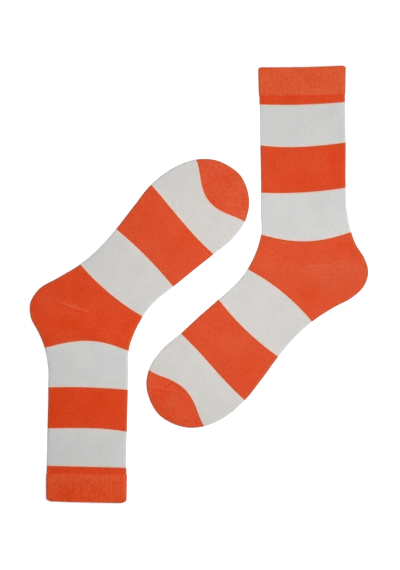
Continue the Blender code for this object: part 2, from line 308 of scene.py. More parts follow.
LEFT_PATCHES = (
    #        x       y  reach x  reach y  turn  tone
    # the welt's rounded lower edge, next: a painted highlight
    Patch(   0.0,  -26.0,  60.0,    3.0,   0.0,  0.30),   # welt
    Patch(   0.0,   -9.0,  40.0,    5.0,   0.0, -0.15),
    Patch(  38.0, -201.0,  16.0,    6.0,   0.0,  0.25),   # heel
    # along the heel's gore line, next: a painted highlight
    Patch(  11.0, -195.6,  11.0,    1.5, -20.0,  1.00),
    Patch(   4.0, -190.6,  10.0,    1.4, -15.0, -0.25),
    Patch(  28.0, -196.0,   5.0,    1.8, -15.0, -0.50),
    Patch( -11.0, -185.0,   9.0,    6.0,   0.0, -0.30),
    Patch(  22.0, -178.0,  18.0,    6.0,   0.0, -0.30),
    Patch( -70.0, -232.0,  12.0,    9.0, -45.0,  0.25),   # foot
    Patch( -96.0, -262.0,  12.0,   10.0,   0.0, -0.25),
    Patch(-138.0, -322.0,   7.0,    4.5,  20.0, -0.35),   # toe
    Patch(-127.0, -303.0,   3.0,    3.0,   0.0, -0.60),
    Patch(-147.0, -294.5,  12.0,    2.2,  15.0, -0.40),
    Patch(-154.0, -317.0,   6.0,   10.0,   0.0,  0.35),
    Patch(-156.0, -287.5,   4.5,    4.5,   0.0,  0.90),
    Patch(-133.0, -334.0,   8.0,    4.0,  20.0,  0.40),
)


# ---------------------------------------------------------------- working out the form


def smooth_path(stations: Array, where: Array) -> Array:
    """Work out points of a smooth path through stations.

    Args:
        stations: the points that it runs through.
        where: fractional station numbers.

    Returns:
        A point for each of them.
    """
    spans = np.diff(stations, axis=0)
    lengths = np.linalg.norm(spans, axis=1)[:, None]
    slopes = spans / lengths
    inner = (slopes[:-1] * lengths[1:] + slopes[1:] * lengths[:-1]) / (lengths[:-1] + lengths[1:])
    slopes = np.vstack([slopes[:1], inner, slopes[-1:]])
    span = np.clip(np.floor(where).astype(int), 0, len(spans) - 1)
    share = (np.asarray(where, float) - span)[..., None]
    start, end = stations[span], stations[span + 1]
    start_slope, end_slope = slopes[span] * lengths[span], slopes[span + 1] * lengths[span]
    return (
        start * (1 + 2 * share) * (1 - share) ** 2
        + start_slope * share * (1 - share) ** 2
        + end * (3 - 2 * share) * share**2
        + end_slope * (share - 1) * share**2
    )


def turned_right(direction: Array) -> Array:
    """Turn each direction in the floor's plane a quarter turn clockwise."""
    return np.stack([direction[..., 1], -direction[..., 0]], axis=-1)


def unit(vectors: Array) -> Array:
    """Scale each vector to length 1."""
    return vectors / np.maximum(np.linalg.norm(vectors, axis=-1, keepdims=True), TINY)


def smooth_step(share: Array) -> Array:
    """Rise from 0 to 1 with level ends."""
    share = np.clip(share, 0.0, 1.0)
    return share * share * (3 - 2 * share)


def reach_along(points: Array) -> Array:
    """Work out how far each place lies along its line, or down its column of a table."""
    steps = np.linalg.norm(np.diff(points, axis=0), axis=-1)
    return np.concatenate([np.zeros_like(steps[:1]), np.cumsum(steps, axis=0)])


def length_of(line: Array) -> float:
    """Work out the length of a line or ring of places."""
    return float(reach_along(line[:, :3])[-1])


def along(line: Array, marks: Array) -> Array:
    """Find places on a line.

    Args:
        line: the rows of numbers along it, of which the first two or three are its points.
        marks: how far along it each place is, as shares of its length.

    Returns:
        A row for each mark, in the shape of the marks.
    """
    reach = reach_along(line[:, :3])
    return np.stack([np.interp(marks * reach[-1], reach, column) for column in line.T], axis=-1)


def to_segment(points: Array, start: Point, end: Point) -> Array:
    """Work out each point's distance from a straight line between two others.

    Args:
        points: the points.
        start: where the line starts.
        end: where it ends.

    Returns:
        The distances.
    """
    origin = np.array(start)
    span = np.array(end) - origin
    share = np.clip((points - origin) @ span / (span @ span), 0.0, 1.0)
    return np.linalg.norm(points - origin - share[..., None] * span, axis=-1)


def grooves(count: int, columns: int) -> Array:
    """Work out the depth of the groove at each column, from 1 in it to 0 between grooves."""
    share = np.arange(count) % columns / columns
    return 1 - np.sin(math.pi * share) ** GAUGE.groove_roundness


@dataclass
class FlatTube:
    """The flat tube of one sock, and the surfaces of its wall.

    A loop is a place on a surface, as seven numbers: its point, the direction outwards there,
    and its distance from the fold. A station is a place on the outline, as the fractional number
    of a course, down the front and on up the back.
    """

    courses: tuple[Course, ...]  # from the cuff to the tip of the toe
    creases: tuple[Crease, ...]
    patches: tuple[Patch, ...]
    tip: int = field(init=False)  # number of the last course
    starts: dict[str, int] = field(init=False)  # number of each run's first course
    stations: Array = field(init=False)
    shapes: Array = field(init=False)  # bow, peak and sway of each course
    outlines: dict[float, Array] = field(init=False, default_factory=dict)  # by inset

    OUTLINE_SAMPLES = 1201
    LINE_SAMPLES = 161
    TANGENT_STEP = 0.01          # share of the way to the next course
    SWELL = 0.20                 # height of the cloth's slow rise and fall
    SWELL_LENGTHS = ((31.0, 47.0), (-23.0, 38.0), (57.0, -29.0))
    FADE = 6.0                   # distance from the fold over which creases grow
    LOWER_SHARE = 0.5            # height of the creases that show on the lower layer
    PATCH_SHARE = 0.12           # fuzz that a patch of tone 1 adds

    def __post_init__(self) -> None:
        """Take the outline and the courses' shapes from the tables."""
        fronts = [(course.front_x, course.front_y) for course in self.courses]
        backs = [(course.back_x, course.back_y) for course in self.courses]
        self.tip = len(self.courses) - 1
        self.starts = {course.starts: n for n, course in enumerate(self.courses) if course.starts}
        self.stations = np.array(fronts + backs[-2::-1])
        self.shapes = np.array([(course.bow, course.peak, course.sway) for course in self.courses])

    def outward(self, where: Array) -> Array:
        """Work out the direction out of the sock at its edge.

        Args:
            where: stations.

        Returns:
            A direction for each of them.
        """
        where, last = np.asarray(where, float), 2 * self.tip
        ahead = smooth_path(self.stations, np.clip(where + self.TANGENT_STEP, 0, last))
        behind = smooth_path(self.stations, np.clip(where - self.TANGENT_STEP, 0, last))
        return turned_right(unit(ahead - behind))

    def outline(self, where: Array, inset: float = 0.0) -> Array:
        """Work out the points at stations, on the outline or moved inwards from it."""
        return smooth_path(self.stations, where) - self.outward(where) * inset

    def rows(self, first: int, last: int, pitch: float) -> Array:
        """Space rows between two courses, with one on each course of the table.

        Args:
            first: the course to start from.
            last: the course to end on.
            pitch: about how far apart the rows are where they fan out most.

        Returns:
            The fractional numbers of the rows' courses.
        """
        rows = [float(first)]
        for course in range(first, last):
            ends = np.array([course, course + 1])
            sides = (self.outline(ends), self.outline(2 * self.tip - ends))
            longest = max(np.linalg.norm(side[1] - side[0]) for side in sides)
            steps = max(1, round(longest / pitch))
            rows += [course + (step + 1) / steps for step in range(steps)]
        return np.array(rows)

    def course_line(self, ring: Ring) -> Array:
        """Draw a fine line along a course, in the floor's plane.

        Args:
            ring: the course.

        Returns:
            Points from the front fold to the back fold.
        """
        ends = np.array([ring.station, 2 * self.tip - ring.station])
        front, back = self.outline(ends, ring.skin.inset)
        width = np.linalg.norm(back - front)
        across = (back - front) / width
        numbers = range(self.tip + 1)
        bow, peak, sway = (np.interp(ring.station, numbers, column) for column in self.shapes.T)
        share = (1 - np.cos(np.linspace(0, math.pi, self.LINE_SAMPLES))) / 2
        reach = ring.corner + share * (width - 2 * ring.corner)
        rise = bow * (4 * share * (1 - share)) ** peak - sway * np.sin(2 * math.pi * share)
        rise = width * rise + ring.nudge
        return front + np.outer(reach, across) + np.outer(rise, turned_right(across))

    def edge(self, points: Array, inset: float = 0.0) -> tuple[Array, Array]:
        """Find the nearest place on the outline for each point.

        Args:
            points: points in the floor's plane.
            inset: how far the outline is moved inwards.

        Returns:
            The distances, and the directions out of the sock at those places.
        """
        if inset not in self.outlines:
            where = np.linspace(0, 2 * self.tip, self.OUTLINE_SAMPLES)
            self.outlines[inset] = self.outline(where, inset)
        line = self.outlines[inset]
        start, span = line[:-1], np.diff(line, axis=0)
        offset = points[:, None, :] - start[None]
        share = np.clip((offset * span).sum(-1) / (span**2).sum(-1), 0, 1)
        distance = np.linalg.norm(offset - share[..., None] * span, axis=-1)
        return distance.min(axis=1), turned_right(unit(span))[distance.argmin(axis=1)]

    def loops(self, ring: Ring, columns: int) -> Array:
        """Lay loops on a course, over the top of the sock and back underneath.

        Args:
            ring: the course.
            columns: how many loops there are on each layer.

        Returns:
            The loops, with the first one again at the end.
        """
        skin, line = ring.skin, self.course_line(ring)
        distance, outward = self.edge(line, skin.inset)
        if ring.corner:
            reach = reach_along(line)
            distance = np.minimum(distance, np.minimum(reach, reach[-1] - reach))
        distance[[0, -1]] = 0.0
        short = np.clip(skin.radius - distance, 0, skin.radius)
        half = np.sqrt(skin.radius**2 - short**2)
        out = outward * (short / skin.radius)[:, None]
        sides = []
        for layer in Layer:
            height, up = skin.middle + layer.value * half, layer.value * half / skin.radius
            table = np.column_stack([line, height, out, up, distance + skin.inset])
            sides.append(along(table[:: layer.value], np.linspace(0, 1, columns + 1)))
        return np.vstack([sides[0][:-1], sides[1]])

    def lining(self, rings: list[Ring]) -> Array:
        """Lay the places of the wall's inner surface.

        Args:
            rings: its courses.

        Returns:
            The places by ring and column, each repeated to match the outer columns.
        """
        wales, repeats = GAUGE.lining_wales, GAUGE.side // GAUGE.lining_wales
        upper = np.arange(2 * wales + 1) <= wales
        table = []
        for ring in rings:
            loops = self.loops(ring, wales)
            loops[:, 2] += self.lift(loops[:, :2], loops[:, 6], upper)
            table.append(np.vstack([np.repeat(loops[:-1, :3], repeats, axis=0), loops[:1, :3]]))
        return np.array(table)

    def lift(self, points: Array, fold: Array, upper: Array) -> Array:
        """Work out how far the cloth rises off its plain form.

        Args:
            points: points in the floor's plane.
            fold: the distance of each from the fold.
            upper: whether each is on the upper layer, as the lower one has no crown.

        Returns:
            A height for each point.
        """
        height = np.zeros(fold.shape)
        for crease in self.creases:
            start, end = (crease.start_x, crease.start_y), (crease.end_x, crease.end_y)
            away = to_segment(points, start, end) / crease.width
            height += crease.height * np.exp(-away * away)
        swell = np.zeros(fold.shape)
        for x_length, y_length in self.SWELL_LENGTHS:
            turn = points[..., 0] / x_length + points[..., 1] / y_length
            swell += self.SWELL / len(self.SWELL_LENGTHS) * np.sin(2 * math.pi * turn)
        inwards = fold - GAUGE.fold_radius
        crown = GAUGE.crown_height * smooth_step(inwards / GAUGE.crown_reach)
        shoulder = GAUGE.shoulder_height * (1 - np.exp(-((fold / GAUGE.shoulder_reach) ** 2)))
        over, under = crown + height + swell, np.abs(height) * self.LOWER_SHARE
        fade = smooth_step(inwards / self.FADE)
        return np.where(upper, over * fade + shoulder, under * fade)

    def tone(self, points: Array) -> Array:
        """Work out how much more fuzz than usual the cloth has, painted highlights included.

        Args:
            points: points in the floor's plane.

        Returns:
            The additional share of fuzz at each of them.
        """
        tone = np.zeros(points.shape[:-1])
        for patch in self.patches:
            turn = math.radians(patch.turn)
            east, north = points[..., 0] - patch.x, points[..., 1] - patch.y
            right = (east * math.cos(turn) + north * math.sin(turn)) / patch.reach_x
            ahead = (north * math.cos(turn) - east * math.sin(turn)) / patch.reach_y
            tone += patch.tone * np.exp(-right * right - ahead * ahead)
        return tone * self.PATCH_SHARE

    def top(self, point: Array, layer: Layer) -> Array:
        """Find the cloth's outer surface over or under a point of the floor's plane.

        Args:
            point: the point.
            layer: the layer of the sock.

        Returns:
            The place on the surface.
        """
        distance = self.edge(point[None])[0]
        radius = GAUGE.fold_radius
        short = np.clip(radius - distance, 0, radius)
        height = radius + layer.value * np.sqrt(radius**2 - short**2)
        height += self.lift(point[None], distance, np.array([layer is Layer.UPPER]))
        return np.append(point, height)


# ---------------------------------------------------------------- making cloth


@dataclass
class Laid:
    """A table of places on the cloth, by row and column, with what each one carries."""

    points: Array
    knit: Array                  # its wale and course
    marks: Marks

    FAR = 10.0                   # millimetres at which a fold or yarn change has no effect
    LINING = {Mark.FOLD: FAR, Mark.CHANGE: FAR, Mark.HOLLOW: 0.5, Mark.TONE: 0.0}
    LINING_COURSES = 5.0         # courses from row to row of the lining

    @classmethod
    def outer(cls, points: Array, column: Array, down: Array, *values: Array) -> "Laid":
        """Dress a table of places on the wall's outer surface.

        Args:
            points: the places.
            column: the number of each column of faces round the sock.
            down: how far down the sock each place is.
            values: the numbers for each mark, in the marks' order.

        Returns:
            The table.
        """
        wale = np.broadcast_to(column / GAUGE.columns, down.shape)
        marks = {mark: np.broadcast_to(value, down.shape) for mark, value in zip(Mark, values)}
        return cls(points, np.stack([wale, down / GAUGE.course], axis=-1), marks)

    @classmethod
    def inner(cls, points: Array, ends: dict[int, Marks]) -> "Laid":
        """Dress a table of places on the wall's inner surface, which has a plain look.

        Args:
            points: the places.
            ends: the marks of the rows that are joined to the outer surface, by row.

        Returns:
            The table.
        """
        rows, columns = points.shape[:2]
        courses = np.arange(rows) * cls.LINING_COURSES
        knit = np.stack(np.meshgrid(np.arange(columns) / GAUGE.columns, courses), -1)
        marks = {mark: np.full((rows, columns), cls.LINING[mark]) for mark in Mark}
        for row, carried in ends.items():
            for mark, values in carried.items():
                marks[mark][row] = values
        return cls(points, knit, marks)

    @property
    def area(self) -> float:
        """Work out the area of the cloth, in square millimetres."""
        down, across = np.diff(self.points, axis=0), np.diff(self.points, axis=1)
        return float(np.linalg.norm(np.cross(down[:, :-1], across[:-1]), axis=-1).sum())

    def marks_at(self, rows: int | slice) -> Marks:
        """Take the marks of one row or several."""
        return {mark: values[rows] for mark, values in self.marks.items()}

    def rows(self, first: int, last: int) -> "Laid":
        """Take the rows from one to another."""
        part = slice(first, last + 1)
        return Laid(self.points[part], self.knit[part], self.marks_at(part))


def placed(name: str, data: bpy.types.ID) -> Object:
    """Put a mesh, lamp or camera in the scene.

    Args:
        name: its name.
        data: the mesh, lamp or camera.

    Returns:
        Its object.
    """
    made = bpy.data.objects.new(name, data)
    bpy.context.scene.collection.objects.link(made)
    return made


def finished(name: str, work: bmesh.types.BMesh, place: Matrix, sharp: float) -> Object:
    """Turn a bmesh in a sock's own millimetres into a smooth piece in its place.

    Args:
        name: the piece's name.
        work: the bmesh, which is used up.
        place: the sock's place, in metres.
        sharp: the angle of an edge, in degrees, past which it stays sharp.

    Returns:
        The piece.
    """
    bmesh.ops.recalc_face_normals(work, faces=work.faces)
    bmesh.ops.transform(work, matrix=place @ Matrix.Scale(MILLIMETRE, 4), verts=work.verts)
    mesh = bpy.data.meshes.new(name)
    work.to_mesh(mesh)
    work.free()
    mesh.shade_smooth()
    mesh.set_sharp_from_angle(angle=math.radians(sharp))
    piece = placed(name, mesh)
    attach(piece, BODY)
    return piece


class Cloth:
    """A mesh put together from tables of places, in millimetres until it is finished."""

    WELD = 0.001
    SHARP = 60.0                 # degrees

    def __init__(self, name: str) -> None:
        """Start an empty cloth.

        Args:
            name: the piece's name.
        """
        self.name = name
        self.work = bmesh.new()
        self.work.loops.layers.uv.new(KNIT_MAP)
        for mark in Mark:
            self.work.verts.layers.float.new(mark.value)

    def lay(self, laid: Laid) -> None:
        """Lay a grid of faces on a table of places.

        Args:
            laid: the table.
        """
        rows, columns = laid.points.shape[0] - 1, laid.points.shape[1] - 1
        grid = bmesh.new()
        grid.loops.layers.uv.new(KNIT_MAP)
        bmesh.ops.create_grid(grid, x_segments=columns, y_segments=rows, size=1.0, calc_uvs=True)
        mesh = bpy.data.meshes.new("grid")
        grid.to_mesh(mesh)
        grid.free()
        corners = np.zeros(len(mesh.vertices) * 3, np.float32)
        mesh.vertices.foreach_get("co", corners)     # the grid runs from -1 to 1 each way
        at = self.indexes(corners.reshape(-1, 3)[:, :2] / 2 + 0.5, columns, rows)
        mesh.vertices.foreach_set("co", laid.points[at].astype(np.float32).ravel())
        for mark, values in laid.marks.items():
            attribute = mesh.attributes.new(mark.value, "FLOAT", "POINT")
            attribute.data.foreach_set("value", values[at].astype(np.float32))
        where = np.zeros(len(mesh.loops) * 2, np.float32)
        mesh.uv_layers[KNIT_MAP].uv.foreach_get("vector", where)
        at = self.indexes(where.reshape(-1, 2), columns, rows)
        numbers = laid.knit[at].astype(np.float32).ravel()
        mesh.uv_layers[KNIT_MAP].uv.foreach_set("vector", numbers)
        self.work.from_mesh(mesh)
        bpy.data.meshes.remove(mesh)

    @staticmethod
    def indexes(where: Array, columns: int, rows: int) -> tuple[Array, Array]:
        """Turn places in a unit square into row and column numbers."""
        steps = np.rint(where * (columns, rows)).astype(int)
        return steps[:, 1], steps[:, 0]

    def finish(self, place: Matrix) -> Object:
        """Close the cloth and put it in its place, which is given in metres."""
        bmesh.ops.remove_doubles(self.work, verts=self.work.verts, dist=self.WELD)
        return finished(self.name, self.work, place, self.SHARP)


# ---------------------------------------------------------------- finishes


OPAQUE_WHITE: Color = (1.0, 1.0, 1.0)
MATT = {
    "Roughness": 0.92, "Specular IOR Level": 0.08, "Sheen Weight": 0.02, "Sheen Roughness": 0.6,
}


class Nodes:
    """The nodes of a material or world, built up by short calls."""

    MIX_INPUTS = (0, 6, 7)       # numbers of a Mix node's sockets for colours
    MIX_OUTPUT = 2

    def __init__(self, owner: Material | bpy.types.World, shader: str) -> None:
        """Take over the nodes of something new.

        Args:
            owner: the material or world.
            shader: the name of its shader.
        """
        owner.use_nodes = True
        self.tree = owner.node_tree
        self.shader = self.tree.nodes[shader]

    def feed(self, node: bpy.types.Node, values: dict[str | int, object]) -> None:
        """Link a node's inputs to other nodes' outputs, or set their values.

        Args:
            node: the node.
            values: the output or value for each input, by the input's name or number.
        """
        for name, value in values.items():
            if isinstance(value, Socket):
                self.tree.links.new(value, node.inputs[name])
            else:
                opaque = (*value, 1.0) if isinstance(value, tuple) else value
                node.inputs[name].default_value = opaque

    def node(
        self, kind: str, values: dict[str | int, object] | None = None, **settings: object
    ) -> bpy.types.Node:
        """Add a node of a kind.

        Args:
            kind: its kind.
            values: what feeds its inputs.
            settings: its other settings.

        Returns:
            The node.
        """
        made = self.tree.nodes.new("ShaderNode" + kind)
        for name, value in settings.items():
            setattr(made, name, value)
        self.feed(made, values or {})
        return made

    def math(self, operation: str, *values: object) -> Socket:
        """Work out a number from others."""
        return self.node("Math", dict(enumerate(values)), operation=operation).outputs[0]

    def lerp(self, share: object, start: float, end: float) -> Socket:
        """Run from one number to another as a share runs from 0 to 1."""
        return self.math("MULTIPLY_ADD", share, end - start, start)

    def zigzag(self, value: object) -> Socket:
        """Rise from 0 to 1 and fall back over each unit of a value."""
        return self.math("MULTIPLY", self.math("PINGPONG", value, 0.5), 2.0)

    def between(self, value: object, low: float, high: float) -> Socket:
        """Rise smoothly from 0 where a value is low to 1 where it is high."""
        values = {"Value": value, "From Min": low, "From Max": high}
        return self.node("MapRange", values, interpolation_type="SMOOTHSTEP").outputs["Result"]

    def mix(self, share: object, first: object, second: object) -> Socket:
        """Mix two colours."""
        values = dict(zip(self.MIX_INPUTS, (share, first, second)))
        return self.node("Mix", values, data_type="RGBA").outputs[self.MIX_OUTPUT]

    def noise(self, vector: object, scale: float, detail: float = 1.0) -> Socket:
        """Make smooth noise about 0.5."""
        values = {"Vector": vector, "Scale": scale, "Detail": detail}
        return self.node("TexNoise", values).outputs[0]

    def pair(self, x: object, y: object) -> Socket:
        """Put two values together as a vector."""
        return self.node("CombineXYZ", {"X": x, "Y": y}).outputs[0]

    def scaled(self, vector: object, scale: object) -> Socket:
        """Multiply a colour or vector by a value."""
        return self.node("VectorMath", {0: vector, "Scale": scale}, operation="SCALE").outputs[0]

    def place(self) -> Socket:
        """Read the place on the object, in metres."""
        return self.node("TexCoord").outputs["Object"]

    def knit(self) -> tuple[Socket, Socket]:
        """Read the wale and the course."""
        parts = self.node("SeparateXYZ", {0: self.node("UVMap", uv_map=KNIT_MAP).outputs["UV"]})
        return parts.outputs["X"], parts.outputs["Y"]

    def mark(self, mark: Mark) -> Socket:
        """Read a number that the cloth carries."""
        return self.node("Attribute", attribute_name=mark.value).outputs["Fac"]

    def cloth(self, color: Socket, height: Socket, depth: float) -> None:
        """Dress the shader as matt cloth.

        Args:
            color: its colour.
            height: the height of its surface, from 0 to 1.
            depth: how much 1 is, in metres.
        """
        bump = self.node("Bump", {"Distance": depth, "Height": height}).outputs[0]
        self.feed(self.shader, MATT | {"Base Color": color, "Normal": bump})


@dataclass(frozen=True)
class KnitFinish:
    """A knitted yarn: its stitches, colour, grain and fuzz, with painted shade between its
    stitches, in its grooves and on its folds.
    """

    name: str
    slot: Slot
    yarn: Color                  # linear colour of the yarn
    bloom: Color                 # colour of its raised fuzz
    edge: Color                  # colour that it takes on where another yarn meets it
    rim: Color                   # colour of the painted shade and sheen on its folds
    change_width: float = 2.4    # millimetres over which it takes on the edge colour
    fuzz: float = 0.10           # share of the fuzz in the colour
    grain: float = 0.14          # how much that share differs from stitch to stitch
    speckle: float = 0.15        # how much the brightness does
    hollow: float = 0.88         # brightness in the grooves: painted shade
    stitch: float = 0.80         # brightness between the stitches: painted shade
    fold: float = 0.79           # brightness on the very fold: painted shade
    depth: float = 0.00012       # height of the stitches in metres
    lean: float = 0.55           # how far a stitch's two legs lean, in courses
    stitch_noise: float = 2.0    # strength of the noise that follows the stitches,
    streak_noise: float = 1.4    # of that which follows the wales and courses,
    mottle_noise: float = 0.7    # and of that which doesn't
    cloud_noise: float = 0.8

    FOLD_WIDTH = 3.0             # millimetres from the fold over which its painted shade fades
    RIM_SHARE = 0.55             # how much of the painted rim colour the very fold has
    HIDDEN_HEIGHT = 0.4          # of a stitch where it comes out of the one before
    HIDDEN_SHARE = 0.7           # of its length, over which it rises from there
    STITCH_SCALE = 0.9           # noise scales: for each stitch,
    STREAK_SCALES = (0.55, 0.40)  # for each wale and for each course,
    MOTTLE_SCALE = 260.0         # and for each metre
    CLOUD_SCALE = 45.0

    def material(self) -> Material:
        """Make the material.

        Returns:
            The material.
        """
        material = bpy.data.materials.new(self.name)
        nodes = Nodes(material, "Principled BSDF")
        wale, course = nodes.knit()
        across = nodes.zigzag(wale)
        down = nodes.math("MULTIPLY_ADD", across, self.lean, course)
        leg = nodes.math("SINE", nodes.math("MULTIPLY", across, math.pi))
        out = nodes.between(nodes.zigzag(down), 0.0, self.HIDDEN_SHARE)
        height = nodes.math("MULTIPLY", leg, nodes.lerp(out, self.HIDDEN_HEIGHT, 1.0))
        spread = self.spread(nodes, wale, course, down)
        fuzz = nodes.lerp(spread, self.fuzz, self.fuzz + self.grain)
        fuzz = nodes.math("MAXIMUM", nodes.math("ADD", nodes.mark(Mark.TONE), fuzz), 0.0)
        # painted shade on the folds: darker, and mixed towards the rim colour of painted shade and
        # sheen
        fold = nodes.between(nodes.mark(Mark.FOLD), self.FOLD_WIDTH, 0.0)
        change = nodes.between(nodes.mark(Mark.CHANGE), self.change_width, 0.0)
        color = nodes.mix(fuzz, self.yarn, self.bloom)
        color = nodes.mix(change, color, self.edge)
        color = nodes.mix(nodes.math("MULTIPLY", fold, self.RIM_SHARE), color, self.rim)
        # painted shade: darker between the stitches and in the grooves, and random speckle
        shade = nodes.lerp(height, self.stitch, 1.0)
        for factor in (
            nodes.lerp(spread, 1.0, 1.0 + self.speckle),
            nodes.lerp(fold, 1.0, self.fold),
            nodes.lerp(nodes.mark(Mark.HOLLOW), 1.0, self.hollow),
        ):
            shade = nodes.math("MULTIPLY", shade, factor)
        nodes.cloth(nodes.scaled(color, shade), height, self.depth)
        return material

    def spread(self, nodes: Nodes, wale: Socket, course: Socket, down: Socket) -> Socket:
        """Make the noise of the yarn, from single stitches to slow clouds, about 0.

        Args:
            nodes: the material's nodes.
            wale: the wale.
            course: the course.
            down: the course as the leaning stitches count it.

        Returns:
            The noise.
        """
        wale_scale, course_scale = self.STREAK_SCALES
        streaks = nodes.pair(
            nodes.math("MULTIPLY", wale, wale_scale), nodes.math("MULTIPLY", course, course_scale)
        )
        place, total = nodes.place(), 0.0
        for noise, strength in (
            (nodes.noise(nodes.pair(wale, down), self.STITCH_SCALE), self.stitch_noise),
            (nodes.noise(streaks, scale=1.0, detail=2.0), self.streak_noise),
            (nodes.noise(place, self.MOTTLE_SCALE), self.mottle_noise),
            (nodes.noise(place, self.CLOUD_SCALE), self.cloud_noise),
        ):
            total = nodes.math("ADD", total, nodes.lerp(noise, -strength / 2, strength / 2))
        return total


@dataclass(frozen=True)
class YarnFinish:
    """A single yarn on the surface, as in a seam or a loose end, or a dark blob of painted shade in
    a hole.
    """

    name: str
    slot: Slot
    light: Color
    dark: Color
    depth: float = 0.0001        # height of its fibres in metres

    FIBRE_SCALE = 2200.0         # noise scale, for each metre
    DARKEST, LIGHTEST = 0.3, 0.7  # the noise at which it has those colours

    def material(self) -> Material:
        """Make the material.

        Returns:
            The material.
        """
        material = bpy.data.materials.new(self.name)
        nodes = Nodes(material, "Principled BSDF")
        fibre = nodes.noise(nodes.place(), self.FIBRE_SCALE, detail=2.0)
        share = nodes.between(fibre, self.DARKEST, self.LIGHTEST)
        nodes.cloth(nodes.mix(share, self.dark, self.light), fibre, self.depth)
        return material


@dataclass(frozen=True)
class PaperFinish:
    """A studio's plain paper, which glows so that it stays white and its shadows faint."""

    color: Color = (0.80, 0.80, 0.80)
    glow: float = 0.50           # under the lamps
    far_glow: float = 0.88       # where their light doesn't reach
    near: float = 0.30           # metres from the middle, where the glow starts to grow
    far: float = 0.80            # and where it has grown

    def material(self) -> Material:
        """Make the material.

        Returns:
            The material.
        """
        material = bpy.data.materials.new("paper")
        nodes = Nodes(material, "Principled BSDF")
        away = nodes.node("VectorMath", {0: nodes.place()}, operation="LENGTH").outputs["Value"]
        glow = nodes.lerp(nodes.between(away, self.near, self.far), self.glow, self.far_glow)
        nodes.feed(nodes.shader, {
            "Base Color": self.color, "Roughness": 1.0, "Specular IOR Level": 0.0,
            "Emission Color": OPAQUE_WHITE, "Emission Strength": glow,
        })
        return material


@cache
def material_of(finish: KnitFinish | YarnFinish) -> Material:
    """Make a finish's material, once for all the pieces that it dresses."""
    return finish.material()


JERSEY = KnitFinish(
    "orange_jersey", Slot.ORANGE_KNIT, yarn=(0.817, 0.051, 0.0035), bloom=(0.517, 0.278, 0.159),
    edge=(0.60, 0.105, 0.035), rim=(0.80, 0.22, 0.095), grain=0.12, speckle=0.135,
)
RIB = replace(
    JERSEY, name="orange_rib", slot=Slot.ORANGE_RIB, bloom=(0.66, 0.36, 0.165),
    grain=0.18, speckle=0.18, hollow=1.0,
)
HEEL_JERSEY = replace(JERSEY, name="orange_heel", grain=0.13, speckle=0.15, stitch_noise=1.2)
POCKET = replace(
    JERSEY, name="orange_pocket", grain=0.18, speckle=0.18, stitch=0.83, stitch_noise=2.7
)
PALE_JERSEY = KnitFinish(
    "white_jersey", Slot.WHITE_KNIT, yarn=(0.697, 0.708, 0.696), bloom=(0.727, 0.668, 0.618),
    edge=(0.92, 0.62, 0.53), rim=(0.75, 0.80, 0.835), change_width=2.8,
    grain=0.27, speckle=0.12, fold=1.0,
)
SEAM_YARN = YarnFinish("seam_yarn", Slot.ORANGE_KNIT, (0.95, 0.22, 0.10), (0.75, 0.09, 0.03))
# dark blobs that stand in for the shade inside holes along the gore lines: painted shade
PAINTED_HOLE_SHADE = YarnFinish("dark_yarn", Slot.ORANGE_KNIT, (0.46, 0.045, 0.014), (0.32, 0.030, 0.010))


# ---------------------------------------------------------------- the parts of a sock


@dataclass
class Sock:
    """One sock: its form, the place of its cuff, and what sets it apart from the other."""

    name: str
    tube: FlatTube
    cuff_x: float
    cuff_y: float
    turn: float                  # degrees
    corner: float                # radius of the welt's corners, seen from above
    heel_gore: float             # fractional course of the heel's gore line
    toe_gore: Line               # from inside the toe's first course towards the tip
    fuzz: dict[str, float]       # how much fuzzier than usual the yarn of a run is
    lines: tuple["StitchLine", ...]

    SHORTEST = 10.0              # the least length of a cut

    def place(self) -> Matrix:
        """Work out the matrix of the sock's place, in metres."""
        shift = Matrix.Translation(Vector((self.cuff_x, self.cuff_y, 0.0)) * MILLIMETRE)
        return shift @ Matrix.Rotation(math.radians(self.turn), 4, "Z")

    def dress(self, piece: Object, finish: KnitFinish | YarnFinish) -> None:
        """Give a piece its material, and report it.

        Args:
            piece: the piece.
            finish: its finish.
        """
        piece.data.materials.append(material_of(finish))
        log.info("%s: %d faces", piece.name, len(piece.data.polygons))

    def lay_cloth(
        self, run: str, finish: KnitFinish, outer: list[Laid], inner: Laid, width: float
    ) -> None:
        """Args:
            run: the run's name.
            finish: its finish.
            outer: the tables of its outer surface.
            inner: the table of its inner surface, from the last course back to the first.
            width: the length of a course all round the sock; not used.
        """
        cloth = Cloth(f"{self.name}_{run}_cloth")
        for laid in (*outer, inner):
            laid.marks[Mark.TONE] = laid.marks[Mark.TONE] + self.fuzz.get(run, 0.0)
            cloth.lay(laid)
        piece = cloth.finish(self.place())
        self.dress(piece, finish)
        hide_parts(f"{self.name}_{run}")

    def build(self) -> None:
        """Build and dress every piece of the sock."""
        sleeve = Sleeve(self)
        sleeve.build()
        Welt(self, sleeve).build()
        ToePocket(self, sleeve).build()
        for line in self.lines:
            line.build(self)


